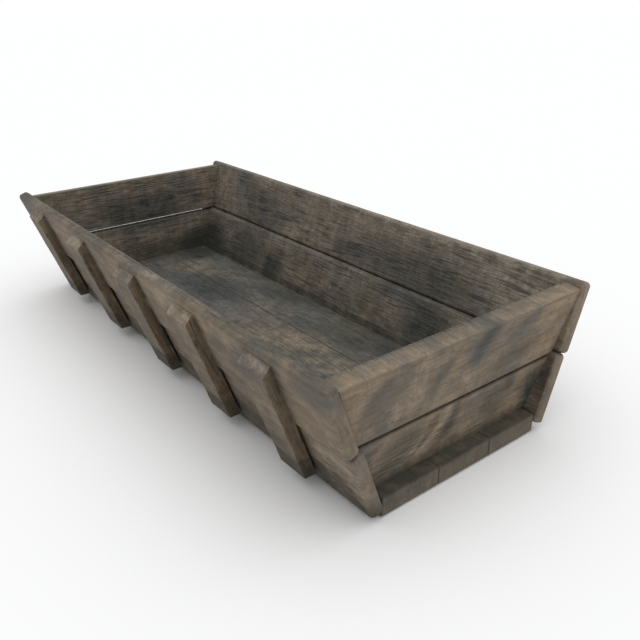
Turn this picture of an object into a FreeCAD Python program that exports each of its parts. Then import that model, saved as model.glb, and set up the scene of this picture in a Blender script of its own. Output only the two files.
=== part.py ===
"""Open plank trough for a farmyard, in millimetres.

Frame: X along the length, Y across the width, Z up.  The origin is on the ground under the middle.
The trough is the same on both long sides and at both ends, so each kind of piece is shaped
once, on the +X or +Y side, and mirrored.  Only the battens are unevenly spaced along the length.
"""
import FreeCAD, Part
import math
import os

os.makedirs("parts", exist_ok=True)
Vector = FreeCAD.Vector
X_AXIS = Vector(1, 0, 0)
Y_AXIS = Vector(0, 1, 0)
ORIGIN = Vector(0, 0, 0)

# Floor: three thick boards laid side by side on the ground
FLOOR_LENGTH = 1918.0
FLOOR_WIDTH = 564.0
FLOOR_THICKNESS = 60.0
NEAR_BOARD_WIDTH = 188.5
FAR_BOARD_WIDTH = 185.0
FLOOR_JOINT = 1.0
FLOOR_ARRIS = 1.5

# Sides: two planks, one above the other, leaning outward from the floor's edge
SIDE_LEAN = 19.0
SIDE_THICKNESS = 40.0
LOWER_SIDE_WIDTH = 204.0
UPPER_SIDE_WIDTH = 204.0
SIDE_GAP = 0.5
SIDE_SETBACK = 8.5
SIDE_OVERHANG = 10.0
SIDE_EDGE_RADIUS = 13.0
SEAT_TOP = 38.0
SEAT_HEIGHT = 4.0

# Ends: two boards, one above the other, standing on the floor between the sides
END_TILT = 7.5
END_THICKNESS = 55.0
END_GAP = 10.0
END_TOP_DROP = 10.5
END_EDGE_RADIUS = 3.0
LEDGE = 40.0
SCRIBE_CLEARANCE = 0.2

# Battens on the outside of the sides
BATTEN_WIDTH = 102.0
BATTEN_THICKNESS = 32.0
BATTEN_TOP_BEVEL = 45.0
BATTEN_FOOT_HEIGHT = 48.0
BATTEN_ARRIS = 1.2
LEFT_BATTEN_INSET = 240.0
RIGHT_BATTEN_INSET = 240.0
MIDDLE_BATTEN_OFFSET = 39.0

# Blind loose tenons that join the pieces out of sight, each in a mortise of its own
TENON_CLEARANCE = 0.1
TENON_END_CLEARANCE = 1.0
FLOOR_TENON_WIDTH = 60.0
FLOOR_TENON_THICKNESS = 18.0
FLOOR_TENON_DEPTH = 40.0
FLOOR_TENONS_PER_JOINT = 3
FOOT_TENON_WIDTH = 70.0
FOOT_TENON_THICKNESS = 18.0
FOOT_TENON_DEPTH = 36.0
END_TENON_WIDTH = 70.0
END_TENON_THICKNESS = 20.0
END_TENON_DEPTH = 50.0
EDGE_TENON_WIDTH = 60.0
EDGE_TENON_THICKNESS = 12.0
EDGE_TENON_DEPTH = 50.0
EDGE_TENONS_PER_SIDE = 4
BATTEN_PEG_WIDTH = 36.0
BATTEN_PEG_THICKNESS = 18.0
BATTEN_PEG_DEPTH = 20.0
SIDE_MORTISE_DEPTH = 24.0

# Worked out from the sizes above
MIDDLE_BOARD_WIDTH = FLOOR_WIDTH - NEAR_BOARD_WIDTH - FAR_BOARD_WIDTH - 2 * FLOOR_JOINT
HALF_FLOOR = FLOOR_WIDTH / 2
SIDE_LENGTH = FLOOR_LENGTH + 2 * SIDE_OVERHANG
LEAN = math.radians(SIDE_LEAN)
TILT = math.radians(END_TILT)
END_FOOT_X = FLOOR_LENGTH / 2 - LEDGE
LOWER_SIDE_FOOT = (SEAT_TOP - SEAT_HEIGHT) / math.cos(LEAN)
UPPER_SIDE_FOOT = LOWER_SIDE_FOOT + LOWER_SIDE_WIDTH + SIDE_GAP
UPPER_SIDE_TOP = UPPER_SIDE_FOOT + UPPER_SIDE_WIDTH
BATTEN_BACK = SIDE_SETBACK + SIDE_THICKNESS
TRIM_REACH = FLOOR_LENGTH + FLOOR_WIDTH
SAME_PLACE = 1.0
SAME_DIRECTION = 0.001

# Frame of the +Y side: "out" is square to the planks and "up" runs up their slope.
# Its zero is where the lower plank's inner face would meet the ground.
SIDE_ZERO = Vector(0, HALF_FLOOR - SEAT_TOP * math.tan(LEAN), 0)
SIDE_OUT = Vector(0, math.cos(LEAN), -math.sin(LEAN))
SIDE_UP = Vector(0, math.sin(LEAN), math.cos(LEAN))

# Frame of the +X end: "out" is square to the boards and "up" runs up their slope.
# Its zero is the outer edge of the lower board's foot.
END_ZERO = Vector(END_FOOT_X, 0, FLOOR_THICKNESS)
END_OUT = Vector(math.cos(TILT), 0, -math.sin(TILT))
END_UP = Vector(math.sin(TILT), 0, math.cos(TILT))


def side_point(x, out, up):
    return SIDE_ZERO + X_AXIS * x + SIDE_OUT * out + SIDE_UP * up


def end_point(out, y, up):
    return END_ZERO + END_OUT * out + Y_AXIS * y + END_UP * up


def up_the_end(height):
    """How far up the slope of an end board its inner face reaches a height above the ground."""
    rise = height - FLOOR_THICKNESS - END_THICKNESS * math.sin(TILT)
    return rise / math.cos(TILT)


# The upper end boards start level with the upper side planks, and stop a little short of their tops
UPPER_END_FOOT = up_the_end(side_point(0, 0, UPPER_SIDE_FOOT).z)
LOWER_END_WIDTH = UPPER_END_FOOT - END_GAP
SIDE_TOP_ARC = side_point(
    0, SIDE_SETBACK + SIDE_EDGE_RADIUS, UPPER_SIDE_FOOT + UPPER_SIDE_WIDTH - SIDE_EDGE_RADIUS)
UPPER_END_TOP = up_the_end(SIDE_TOP_ARC.z + SIDE_EDGE_RADIUS - END_TOP_DROP)
UPPER_END_WIDTH = UPPER_END_TOP - UPPER_END_FOOT


def lean(shape):
    """Turn a shape made upright, with Y out and Z up, into the frame of the +Y side."""
    shape.Placement = FreeCAD.Placement(SIDE_ZERO, FreeCAD.Rotation(X_AXIS, -SIDE_LEAN))
    return shape


def tilt(shape):
    """Turn a shape made upright, with X out and Z up, into the frame of the +X end."""
    shape.Placement = FreeCAD.Placement(END_ZERO, FreeCAD.Rotation(Y_AXIS, END_TILT))
    return shape


def other_side(shape):
    return shape.mirror(ORIGIN, Y_AXIS)


def other_end(shape):
    return shape.mirror(ORIGIN, X_AXIS)


def box_between(low, high):
    return Part.makeBox(high.x - low.x, high.y - low.y, high.z - low.z, low)


def edges_along(shape, axis):
    """Straight edges of a shape that run along an axis."""
    found = []
    for edge in shape.Edges:
        direction = edge.tangentAt(edge.FirstParameter)
        if direction.cross(axis).Length < SAME_DIRECTION:
            found.append(edge)
    return found


def prism(points, length_vector):
    return Part.Face(Part.makePolygon(points + [points[0]])).extrude(length_vector)


# ---------------------------------------------------------------- floor boards

def floor_board(low_y, width):
    low = Vector(-FLOOR_LENGTH / 2, low_y, 0)
    board = Part.makeBox(FLOOR_LENGTH, width, FLOOR_THICKNESS, low)
    return board.makeChamfer(FLOOR_ARRIS, board.Edges)


NEAR_BOARD_Y = -HALF_FLOOR
MIDDLE_BOARD_Y = NEAR_BOARD_Y + NEAR_BOARD_WIDTH + FLOOR_JOINT
FAR_BOARD_Y = MIDDLE_BOARD_Y + MIDDLE_BOARD_WIDTH + FLOOR_JOINT
FLOOR_JOINTS_Y = (MIDDLE_BOARD_Y - FLOOR_JOINT / 2, FAR_BOARD_Y - FLOOR_JOINT / 2)
FLOOR_CENTRES_Y = (
    NEAR_BOARD_Y + NEAR_BOARD_WIDTH / 2,
    MIDDLE_BOARD_Y + MIDDLE_BOARD_WIDTH / 2,
    FAR_BOARD_Y + FAR_BOARD_WIDTH / 2,
)


# ---------------------------------------------------------------- side planks

def side_plank(back, foot, width, grow=0.0):
    """Plank with all its edges worn round; grow makes the room that it needs in a neighbour."""
    low = Vector(-SIDE_LENGTH / 2 - grow, back - grow, foot - grow)
    high = Vector(SIDE_LENGTH / 2 + grow, back + SIDE_THICKNESS + grow, foot + width + grow)
    plank = box_between(low, high)
    return lean(plank.makeFillet(SIDE_EDGE_RADIUS + grow, plank.Edges))


def lower_side_plank():
    """Lower plank: its foot is sawn square, and planed flat where it bears on the floor."""
    low = Vector(-SIDE_LENGTH / 2, 0, LOWER_SIDE_FOOT)
    high = Vector(SIDE_LENGTH / 2, SIDE_THICKNESS, LOWER_SIDE_FOOT + LOWER_SIDE_WIDTH)
    plank = box_between(low, high)
    rounded = []
    for edge in plank.Edges:
        if edge.CenterOfMass.z > low.z + SAME_PLACE:
            rounded.append(edge)
    plank = lean(plank.makeFillet(SIDE_EDGE_RADIUS, rounded))
    floor_space = box_between(
        Vector(-SIDE_LENGTH, 0, -FLOOR_THICKNESS), Vector(SIDE_LENGTH, HALF_FLOOR, FLOOR_THICKNESS))
    return plank.cut(floor_space)


def upper_side_plank():
    return side_plank(SIDE_SETBACK, UPPER_SIDE_FOOT, UPPER_SIDE_WIDTH)


# ---------------------------------------------------------------- end boards

def space_between_sides(back):
    """Everything between the inner faces of the two side planks whose inner face is at back."""
    low_far = side_point(-SIDE_LENGTH, back, 0)
    high_far = side_point(-SIDE_LENGTH, back, TRIM_REACH)
    low_near = Vector(low_far.x, -low_far.y, low_far.z)
    high_near = Vector(high_far.x, -high_far.y, high_far.z)
    return prism([low_near, low_far, high_far, high_near], X_AXIS * 2 * SIDE_LENGTH)


def end_board(foot, width, rounded_foot):
    """Tilted board, longer than the trough is wide, with its long edges eased."""
    low = Vector(-END_THICKNESS, -TRIM_REACH, foot)
    high = Vector(0, TRIM_REACH, foot + width)
    board = box_between(low, high)
    eased = []
    for edge in edges_along(board, Y_AXIS):
        if rounded_foot or edge.CenterOfMass.z > foot + SAME_PLACE:
            eased.append(edge)
    return tilt(board.makeFillet(END_EDGE_RADIUS, eased))


def lower_end_board():
    """Its ends are cut to the side planks at a compound angle and its foot is level on the floor."""
    foot_allowance = 2 * END_THICKNESS * math.tan(TILT)
    board = end_board(-foot_allowance, LOWER_END_WIDTH + foot_allowance, False)
    below_floor_top = box_between(
        Vector(0, -TRIM_REACH, -TRIM_REACH), Vector(SIDE_LENGTH, TRIM_REACH, FLOOR_THICKNESS))
    return board.common(space_between_sides(0)).cut(below_floor_top)


def upper_end_board():
    """Its ends follow the upper side planks and are scribed over the lower planks' round tops."""
    board = end_board(UPPER_END_FOOT, UPPER_END_WIDTH, True)
    board = board.common(space_between_sides(SIDE_SETBACK))
    shoulder = side_plank(0, LOWER_SIDE_FOOT, LOWER_SIDE_WIDTH, SCRIBE_CLEARANCE)
    return board.cut(shoulder).cut(other_side(shoulder))


# ---------------------------------------------------------------- battens

def batten_stations():
    """Centres of the battens along X: the end ones, the middle one and one halfway between each."""
    left = -SIDE_LENGTH / 2 + LEFT_BATTEN_INSET
    right = SIDE_LENGTH / 2 - RIGHT_BATTEN_INSET
    middle = MIDDLE_BATTEN_OFFSET
    return [left, (left + middle) / 2, middle, (middle + right) / 2, right]


def batten(station):
    """Batten flat on the upper plank, with a bevelled head and a level foot above the ground."""
    head = UPPER_SIDE_TOP - SIDE_EDGE_RADIUS
    head_fall = BATTEN_THICKNESS * math.tan(math.radians(BATTEN_TOP_BEVEL) - LEAN)
    front = BATTEN_BACK + BATTEN_THICKNESS
    back_foot = BATTEN_FOOT_HEIGHT / math.cos(LEAN) + BATTEN_BACK * math.tan(LEAN)
    front_foot = BATTEN_FOOT_HEIGHT / math.cos(LEAN) + front * math.tan(LEAN)
    start = station - BATTEN_WIDTH / 2
    outline = [
        side_point(start, BATTEN_BACK, back_foot),
        side_point(start, BATTEN_BACK, head),
        side_point(start, front, head - head_fall),
        side_point(start, front, front_foot),
    ]
    solid = prism(outline, X_AXIS * BATTEN_WIDTH)
    return solid.makeChamfer(BATTEN_ARRIS, solid.Edges)


# ---------------------------------------------------------------- loose tenons

class Tenon:
    """Flat block across a joint, with a depth each way from the point where the faces meet."""

    def __init__(self, point, through, across, width, thickness, depth_back, depth_ahead):
        self.through = through
        self.wide = across
        self.thick = through.cross(across)
        self.width = width
        self.thickness = thickness
        self.start = point - through * depth_back
        self.length = depth_back + depth_ahead

    def block(self, side_room, end_room):
        corner = self.start - self.through * end_room
        half_wide = self.wide * (self.width / 2 + side_room)
        half_thick = self.thick * (self.thickness / 2 + side_room)
        section = [
            corner - half_wide - half_thick,
            corner + half_wide - half_thick,
            corner + half_wide + half_thick,
            corner - half_wide + half_thick,
        ]
        return prism(section, self.through * (self.length + 2 * end_room))

    def solid(self):
        return self.block(0, 0)

    def mortise(self):
        return self.block(TENON_CLEARANCE, TENON_END_CLEARANCE)


def spread(length, count):
    """Evenly spaced places along a length centred on zero, half a space in from each end."""
    return [length * ((index + 0.5) / count - 0.5) for index in range(count)]


def floor_tenons():
    """Level, across the two joints between the floor boards."""
    tenons = []
    for y in FLOOR_JOINTS_Y:
        for x in spread(2 * END_FOOT_X, FLOOR_TENONS_PER_JOINT):
            point = Vector(x, y, FLOOR_THICKNESS / 2)
            tenons.append(
                Tenon(point, Y_AXIS, X_AXIS, FLOOR_TENON_WIDTH, FLOOR_TENON_THICKNESS,
                      FLOOR_TENON_DEPTH, FLOOR_TENON_DEPTH))
    return tenons


def foot_tenons():
    """From the +X lower end board down into each floor board."""
    tenons = []
    middle = END_THICKNESS / 2
    for y in FLOOR_CENTRES_Y:
        point = end_point(-middle, y, -middle * math.tan(TILT))
        tenons.append(
            Tenon(point, END_UP, Y_AXIS, FOOT_TENON_WIDTH, FOOT_TENON_THICKNESS,
                  FOOT_TENON_DEPTH, FOOT_TENON_DEPTH))
    return tenons


def end_tenon(back, foot, width):
    """Square to the +Y side plank, from the end grain of a +X end board into the plank."""
    middle = end_point(-END_THICKNESS / 2, 0, foot + width / 2)
    up = (middle.z + back * math.sin(LEAN)) / math.cos(LEAN)
    point = side_point(middle.x, back, up)
    along_board_end = END_UP - SIDE_OUT * END_UP.dot(SIDE_OUT)
    along_board_end.normalize()
    return Tenon(point, SIDE_OUT, along_board_end, END_TENON_WIDTH, END_TENON_THICKNESS,
                 END_TENON_DEPTH, SIDE_MORTISE_DEPTH)


def edge_tenons():
    """Level, from the +Y floor board's edge into the foot of the lower side plank."""
    tenons = []
    height = (SEAT_TOP + FLOOR_THICKNESS - FLOOR_ARRIS) / 2
    for x in spread(2 * END_FOOT_X, EDGE_TENONS_PER_SIDE):
        point = Vector(x, HALF_FLOOR, height)
        tenons.append(
            Tenon(point, Y_AXIS, X_AXIS, EDGE_TENON_WIDTH, EDGE_TENON_THICKNESS,
                  EDGE_TENON_DEPTH, SIDE_MORTISE_DEPTH))
    return tenons


def batten_pegs():
    """From the +Y battens into the upper plank, and across the set-back into the lower plank."""
    pegs = []
    upper_middle = UPPER_SIDE_FOOT + UPPER_SIDE_WIDTH / 2
    lower_middle = LOWER_SIDE_FOOT + LOWER_SIDE_WIDTH / 2
    reaches = {upper_middle: SIDE_MORTISE_DEPTH, lower_middle: SIDE_SETBACK + SIDE_MORTISE_DEPTH}
    for station in batten_stations():
        for up, reach in reaches.items():
            point = side_point(station, BATTEN_BACK, up)
            pegs.append(
                Tenon(point, SIDE_OUT, SIDE_UP, BATTEN_PEG_WIDTH, BATTEN_PEG_THICKNESS,
                      reach, BATTEN_PEG_DEPTH))
    return pegs


# ---------------------------------------------------------------- assembly

def solids_of(tenons):
    return [tenon.solid() for tenon in tenons]


def mortises_of(tenons):
    return [tenon.mortise() for tenon in tenons]


def on_both_sides(shapes):
    return shapes + [other_side(shape) for shape in shapes]


def at_both_ends(shapes):
    return shapes + [other_end(shape) for shape in shapes]


def chop(board, mortises):
    """Cut the mortises that reach a board."""
    for mortise in mortises:
        if board.BoundBox.intersect(mortise.BoundBox):
            board = board.cut(mortise)
    return board


in_floor = floor_tenons()
under_ends = foot_tenons()
into_ends = [
    end_tenon(0, 0, LOWER_END_WIDTH),
    end_tenon(SIDE_SETBACK, UPPER_END_FOOT, UPPER_END_WIDTH),
]
at_floor_edge = edge_tenons()
behind_battens = batten_pegs()

floor_mortises = mortises_of(in_floor)
foot_mortises = at_both_ends(mortises_of(under_ends))
end_mortises = at_both_ends(on_both_sides(mortises_of(into_ends)))
edge_mortises = on_both_sides(mortises_of(at_floor_edge))
batten_mortises = mortises_of(behind_battens)

pieces = {}

floor_boards = {
    "near": floor_board(NEAR_BOARD_Y, NEAR_BOARD_WIDTH),
    "middle": floor_board(MIDDLE_BOARD_Y, MIDDLE_BOARD_WIDTH),
    "far": floor_board(FAR_BOARD_Y, FAR_BOARD_WIDTH),
}
for place, board in floor_boards.items():
    pieces["floor_board_" + place] = chop(board, floor_mortises + foot_mortises + edge_mortises)

side_planks = {"lower": lower_side_plank(), "upper": upper_side_plank()}
for place, plank in side_planks.items():
    plank = chop(plank, end_mortises + edge_mortises + batten_mortises)
    pieces["side_plank_far_" + place] = plank
    pieces["side_plank_near_" + place] = other_side(plank)

end_boards = {"lower": lower_end_board(), "upper": upper_end_board()}
for place, board in end_boards.items():
    board = chop(board, foot_mortises + end_mortises)
    pieces["end_board_right_" + place] = board
    pieces["end_board_left_" + place] = other_end(board)

for index, station in enumerate(batten_stations()):
    strip = chop(batten(station), batten_mortises)
    pieces["batten_far_%d" % (index + 1)] = strip
    pieces["batten_near_%d" % (index + 1)] = other_side(strip)

tenon_groups = {
    "tenons_floor": solids_of(in_floor),
    "tenons_end_foot": at_both_ends(solids_of(under_ends)),
    "tenons_end_board": at_both_ends(on_both_sides(solids_of(into_ends))),
    "tenons_floor_edge": on_both_sides(solids_of(at_floor_edge)),
    "pegs_batten": on_both_sides(solids_of(behind_battens)),
}
for name, solids in tenon_groups.items():
    pieces[name] = Part.makeCompound(solids)

for name, shape in pieces.items():
    shape.exportStep("parts/" + name + ".step")
    print("%-24s solids %d  volume %.0f cm3" % (name, len(shape.Solids), shape.Volume / 1000))
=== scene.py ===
"""Looks of the open plank trough: worn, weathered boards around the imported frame, in metres.

Every visible board is modelled again as a fine mesh with worn edges, grain and chips, in the
place, size and lean of its CAD node.  X runs along the trough, Y across it and Z up.
"""
import math

import bpy
import numpy as np
from mathutils import Matrix, Vector


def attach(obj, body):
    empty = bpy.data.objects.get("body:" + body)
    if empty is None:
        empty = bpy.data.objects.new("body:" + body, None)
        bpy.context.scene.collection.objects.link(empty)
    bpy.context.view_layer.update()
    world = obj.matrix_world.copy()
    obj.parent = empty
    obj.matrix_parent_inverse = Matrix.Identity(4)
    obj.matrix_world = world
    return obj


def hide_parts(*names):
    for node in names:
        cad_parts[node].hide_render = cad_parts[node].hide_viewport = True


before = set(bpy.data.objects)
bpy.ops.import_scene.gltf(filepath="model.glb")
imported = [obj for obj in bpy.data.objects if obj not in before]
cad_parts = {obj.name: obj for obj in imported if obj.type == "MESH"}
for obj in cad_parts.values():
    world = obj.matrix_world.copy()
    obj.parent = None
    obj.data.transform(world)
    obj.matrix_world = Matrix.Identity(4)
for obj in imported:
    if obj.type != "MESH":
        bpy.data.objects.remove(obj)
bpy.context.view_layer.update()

# ------------------------------------------------------------------ how the boards lie

SIDE_LEAN = math.radians(19.0)
END_TILT = math.radians(7.5)
BATTEN_BEVEL = math.radians(45.0)

AXIS_X = np.array((1.0, 0.0, 0.0))
AXIS_Y = np.array((0.0, 1.0, 0.0))
AXIS_Z = np.array((0.0, 0.0, 1.0))
SIDE_OUT = np.array((0.0, math.cos(SIDE_LEAN), -math.sin(SIDE_LEAN)))
SIDE_UP = np.array((0.0, math.sin(SIDE_LEAN), math.cos(SIDE_LEAN)))
END_OUT = np.array((math.cos(END_TILT), 0.0, -math.sin(END_TILT)))
END_UP = np.array((math.sin(END_TILT), 0.0, math.cos(END_TILT)))

# Edge radii
SIDE_RADIUS = 0.013
END_RADIUS = 0.0035
FLOOR_RADIUS = 0.0028
BATTEN_RADIUS = 0.0020

# How an edge is turned over: 2 is an arc, and a high power keeps it nearly square
ROUND = 2.0
SAWN = 7.0
SQUARE = 16.0

# Mesh steps along and across the grain, and over a rounded edge
STEP_ALONG = 0.0125
STEP_ACROSS = 0.0034
RADIUS_STEPS = 3
SHARP_ANGLE = math.radians(38)

# How far the end boards are let into the side planks, and how far the battens bed into them
BUTT = 0.0010
BED = 0.0026

# How much the floor boards are worn away under their ends
UNDERCUT = 0.005

# How near a joint a board stays unworn
UNWORN = 0.008

# What is left of the wear at such a joint, and the band beside it in which its dirt fades
JOINT_WEAR = 0.1
SEAM_BAND = (0.001, 0.004)

# Depths of wear: slow hollows, grooves along the grain, and chips out of the edges
HOLLOW = 0.0002
GROOVE = 0.0005
BATTEN_GROOVE = 0.0003
CHIP = 0.0010
RIM_CHIP = 0.0018
BATTEN_CHIP = 0.0012

# Bumps per metre of each kind of wear, along a board, across it and through it
HOLLOW_SCALE = (3, 9, 9)
DRIFT_SCALE = (4, 10, 10)
COARSE_SCALE = (1.8, 110, 110)
FINE_SCALE = (9, 150, 150)
PATCH_SCALE = (2.6, 8, 8)
BITE_SCALE = (18, 34, 34)
NICK_SCALE = (60, 66, 66)
RUB_SCALE = (7, 22, 22)

# How far the grooves drift sideways, and how far in from a rounded edge it is chipped and rubbed
GROOVE_DRIFT = (0, 0.006, 0.006)
CHIPPED_BAND = 0.004
RUBBED_BAND = 0.006

# How squarely a surface faces up the board to be its head, and along the trough to be its side
HEAD_FACING = (0.2, 0.5)
SIDE_FACING = (0.6, 0.95)

# How far a board's figure is shifted along and across the grain, for each step of its seed
FIGURE_SHIFT = np.array((0.37, 1.61))

# The numbers of the battens along each side
BATTENS = range(1, 6)


def corner_points(node):
    """All the corner points of a CAD node, one row each."""
    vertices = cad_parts[node].data.vertices
    points = np.empty(len(vertices) * 3, np.float32)
    vertices.foreach_get("co", points)
    return points.reshape(-1, 3).astype(float)


def span(node, axis):
    """Least and greatest distance that a CAD node reaches along an axis."""
    reach = corner_points(node) @ axis
    return reach.min(), reach.max()


FLOOR_TOP = span("floor_board_far", AXIS_Z)[1]
FLOOR_END = span("floor_board_far", AXIS_X)[1]
HALF_FLOOR = span("floor_board_far", AXIS_Y)[1]
LOWER_FACE = span("side_plank_far_lower", SIDE_OUT)[0]
UPPER_FACE = span("side_plank_far_upper", SIDE_OUT)[0]
LOWER_TOP = span("side_plank_far_lower", SIDE_UP)[1]
PLANK_END = span("side_plank_far_upper", AXIS_X)[1]
RIM = span("side_plank_far_upper", AXIS_Z)[1]
INSIDE_LENGTH = span("end_board_right_lower", AXIS_X)[0]
BATTEN_BACK = span("batten_far_1", SIDE_OUT)[0]
BATTEN_HEAD = span("batten_far_1", AXIS_Z)[1]
BATTEN_SPANS = [span("batten_far_%d" % number, AXIS_X) for number in BATTENS]
BATTEN_MIDDLES = [(low + high) / 2 for low, high in BATTEN_SPANS]
HALF_BATTEN = (BATTEN_SPANS[0][1] - BATTEN_SPANS[0][0]) / 2


# ------------------------------------------------------------------ seeded noise

# Large numbers that scatter a point, its seed and what comes of them, and the bits that are kept
SCATTER = (73856093, 19349663, 83492791)
SCATTER_SEED = 2654435761
SCATTER_AGAIN = 1274126177
KEPT_BITS = 0x7FFFFFFF


def lattice_value(cell, seed):
    """A steady pseudo-random number from -1 to 1 for each whole-number point."""
    mixed = cell[..., 0] * SCATTER[0] ^ cell[..., 1] * SCATTER[1] ^ cell[..., 2] * SCATTER[2]
    mixed = (mixed + seed * SCATTER_SEED) & KEPT_BITS
    mixed = (mixed ^ (mixed >> 13)) * SCATTER_AGAIN & KEPT_BITS
    mixed = mixed ^ (mixed >> 16)
    return (mixed % 65536) / 32767.5 - 1.0


def noise(points, scale, seed):
    """Smooth value noise from -1 to 1.

    scale is how many bumps there are per metre: one number, or one for each axis.
    """
    scaled = points * np.asarray(scale)
    cell = np.floor(scaled).astype(np.int64)
    part = scaled - cell
    part = part * part * (3 - 2 * part)
    total = np.zeros(len(points))
    for corner in np.ndindex(2, 2, 2):
        weight = np.ones(len(points))
        for axis in range(3):
            weight *= part[:, axis] if corner[axis] else 1 - part[:, axis]
        total += weight * lattice_value(cell + corner, seed)
    return total


def ramp(value, low, high):
    """Smooth step from 0 below low to 1 above high."""
    share = np.clip((value - low) / (high - low), 0, 1)
    return share * share * (3 - 2 * share)


# ------------------------------------------------------------------ board meshes

def edge_lines(length, radius, step):
    """Grid lines over a length: close together over each rounded edge, even between them."""
    angles = np.linspace(math.pi / 4, 0, RADIUS_STEPS + 1)
    near = radius * (1 - np.tan(angles))
    count = max(2, round((length - 2 * radius) / step) + 1)
    middle = np.linspace(radius, length - radius, count)
    return np.concatenate([near[:-1], middle, (length - near[:-1])[::-1]])


def box_grid(size, radius, steps):
    """Lattice points on a box's surface, and its quads grouped by the face that they lie on.

    The axes are along the board, across it and through it.
    """
    lines = [edge_lines(size[axis], radius, steps[axis]) for axis in range(3)]
    counts = [len(line) for line in lines]
    index = np.indices(counts)
    on_surface = np.zeros(counts, bool)
    for axis in range(3):
        on_surface |= (index[axis] == 0) | (index[axis] == counts[axis] - 1)
    ids = np.full(counts, -1)
    ids[on_surface] = np.arange(on_surface.sum())
    points = np.stack([lines[axis][index[axis][on_surface]] for axis in range(3)], axis=1)
    faces = []
    for axis in range(3):
        for at_high in (False, True):
            sheet = np.take(ids, -1 if at_high else 0, axis=axis)
            corners = [sheet[:-1, :-1], sheet[1:, :-1], sheet[1:, 1:], sheet[:-1, 1:]]
            quads = np.stack(corners, axis=-1).reshape(-1, 4)
            if at_high == (axis == 1):
                quads = quads[:, ::-1]
            faces.append((axis, at_high, quads))
    return points, faces


def joined(first, second, power):
    """Distance over two distances at right angles, as round or as square as the power says."""
    return (first ** power + second ** power) ** (1 / power)


def round_edges(points, size, radius, foot_power, square_ends):
    """Turns over a box's edges; foot_power says how the edges of its low side are shaped."""
    core = np.clip(points, radius, np.asarray(size) - radius)
    offset = points - core
    along, across, through = np.abs(offset).T
    power = np.where(offset[:, 1] < 0, foot_power, ROUND)
    if square_ends:
        reach = joined(joined(across, through, power), along, SQUARE)
    else:
        reach = joined(joined(along, through, ROUND), across, power)
    scale = np.where(reach > 0, radius / np.maximum(reach, 1e-12), 1.0)
    return core + offset * scale[:, None]


def grain_map(points, faces, size, shift, lengthwise):
    """Where each face corner lies on the wood's figure: along the grain, and across it.

    lengthwise gives the axis that the grain follows on faces square to each axis.  A figure that
    runs along the board wraps round its four long faces.
    """
    width, thickness = size[1], size[2]
    once_round = 2 * width + thickness
    rows = []
    for axis, at_high, quads in faces:
        grain = lengthwise[axis]
        if grain == 0 and axis == 2:
            wrapped = points[:, 1] if at_high else once_round - points[:, 1]
        elif grain == 0:
            wrapped = width + thickness - points[:, 2] if at_high else once_round + points[:, 2]
        else:
            wrapped = points[:, 3 - axis - grain] + (axis + 0.5 * at_high)
        pair = np.stack([points[:, grain], wrapped], axis=1)
        rows.append(pair[quads.ravel()] + shift)
    return np.concatenate(rows)


def make_mesh(name, points, faces, grain):
    """A mesh with its place on the wood's figure kept as a UV map."""
    quads = np.concatenate([group for axis, at_high, group in faces])
    mesh = bpy.data.meshes.new(name)
    mesh.from_pydata(points.tolist(), [], quads.tolist())
    layer = mesh.uv_layers.new(name="grain")
    layer.data.foreach_set("uv", grain.astype(np.float32).ravel())
    mesh.update()
    return mesh


def add_value(mesh, name, values):
    """Keeps one number from 0 to 1 for each point, for the material to read."""
    attribute = mesh.attributes.new(name, "FLOAT", "POINT")
    attribute.data.foreach_set("value", np.clip(values, 0, 1).astype(np.float32))


def normals_of(mesh):
    """The direction that the surface faces at each point."""
    normals = np.empty(len(mesh.vertices) * 3, np.float32)
    mesh.vertex_normals.foreach_get("vector", normals)
    return normals.reshape(-1, 3).astype(float)


def from_edges(local, size):
    """Distance of each point from the nearest long edge of its board."""
    return np.minimum(local[:, 1:], np.asarray(size)[1:] - local[:, 1:]).max(axis=1)


def weathering(local, size, radius, seed, groove, chip):
    """How far each point has worn in, in metres: slow hollows, grain grooves, chipped edges."""
    hollow = HOLLOW * (1 + noise(local, HOLLOW_SCALE, seed))
    bent = local + np.outer(noise(local, DRIFT_SCALE, seed + 1), GROOVE_DRIFT)
    coarse = ramp(noise(bent, COARSE_SCALE, seed + 2), 0.25, 0.85)
    fine = ramp(noise(bent, FINE_SCALE, seed + 3), 0.1, 0.8)
    strength = ramp(noise(local, PATCH_SCALE, seed + 4), -0.3, 0.7)
    grooves = groove * (0.25 + 0.75 * strength) * (coarse + 0.4 * fine)
    near_edge = 1 - ramp(from_edges(local, size), 0, radius + CHIPPED_BAND)
    bites = ramp(noise(local, BITE_SCALE, seed + 5), 0.45, 0.95)
    nicks = ramp(noise(local, NICK_SCALE, seed + 6), 0.35, 0.9)
    chips = chip * near_edge * (bites + 0.45 * nicks)
    return hollow + grooves + chips


def wear_of(local, size, radius, seed):
    """How rubbed each point is, from 0 to 1: most on the long edges and round the ends."""
    from_end = np.minimum(local[:, 0], size[0] - local[:, 0])
    patchy = 0.7 + 0.6 * noise(local, RUB_SCALE, seed + 7)
    reach = radius + RUBBED_BAND
    along_edges = 1 - ramp(from_edges(local, size), 0.1 * radius, reach)
    at_ends = 0.8 * (1 - ramp(from_end, 0.3 * radius, reach))
    return np.maximum(along_edges, at_ends) * patchy


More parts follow.
